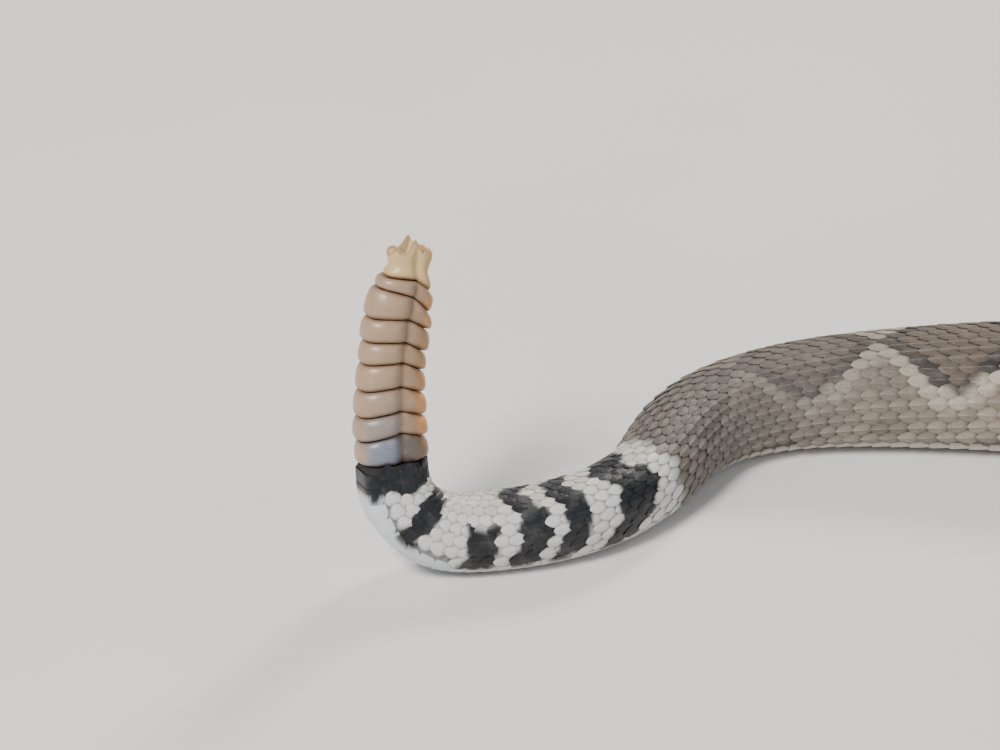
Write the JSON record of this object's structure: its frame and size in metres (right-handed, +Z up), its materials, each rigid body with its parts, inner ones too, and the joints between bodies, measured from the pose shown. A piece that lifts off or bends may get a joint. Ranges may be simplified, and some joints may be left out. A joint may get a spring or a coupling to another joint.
{
  "type": "rattlesnake model",
  "caption": "Still life-size model of a western diamondback rattlesnake lying in a loose coil, head raised over the coil, banded tail curled up with the rattle held upright.",
  "frame": {"origin": "middle of the model's plan, on the floor under its belly", "axes": "+Z up, +X along the longest side of the plan from the rattle towards the coil, the pictured side and the face towards -Y"},
  "size_m": [0.4501, 0.3128, 0.0793],
  "materials": {
    "scaled_skin": "dry matt scales, dusty brown with dark pale-edged diamonds",
    "tail_skin": "matt scales banded black and ash white",
    "jaw_skin": "matt pale scales",
    "rattle": "satin horn, tan and slightly translucent",
    "eye": "wet bronze with an upright slit"
  },
  "bodies": {
    "root": {"head": "scaled_skin", "lower_jaw": "jaw_skin", "eye_left": "eye", "eye_right": "eye", "neck": "scaled_skin", "body_length_01": "scaled_skin", "body_length_02": "scaled_skin", "body_length_03": "scaled_skin", "body_length_04": "scaled_skin", "body_length_05": "scaled_skin", "body_length_06": "scaled_skin", "body_length_07": "scaled_skin", "body_length_08": "scaled_skin", "body_length_09": "scaled_skin", "body_length_10": "scaled_skin", "body_length_11": "scaled_skin", "tail": "tail_skin", "rattle_segment_1": "rattle", "rattle_segment_2": "rattle", "rattle_segment_3": "rattle", "rattle_segment_4": "rattle", "rattle_segment_5": "rattle", "rattle_segment_6": "rattle", "rattle_segment_7": "rattle", "rattle_segment_8": "rattle", "rattle_segment_9": "rattle"}
  },
  "joints": []
}
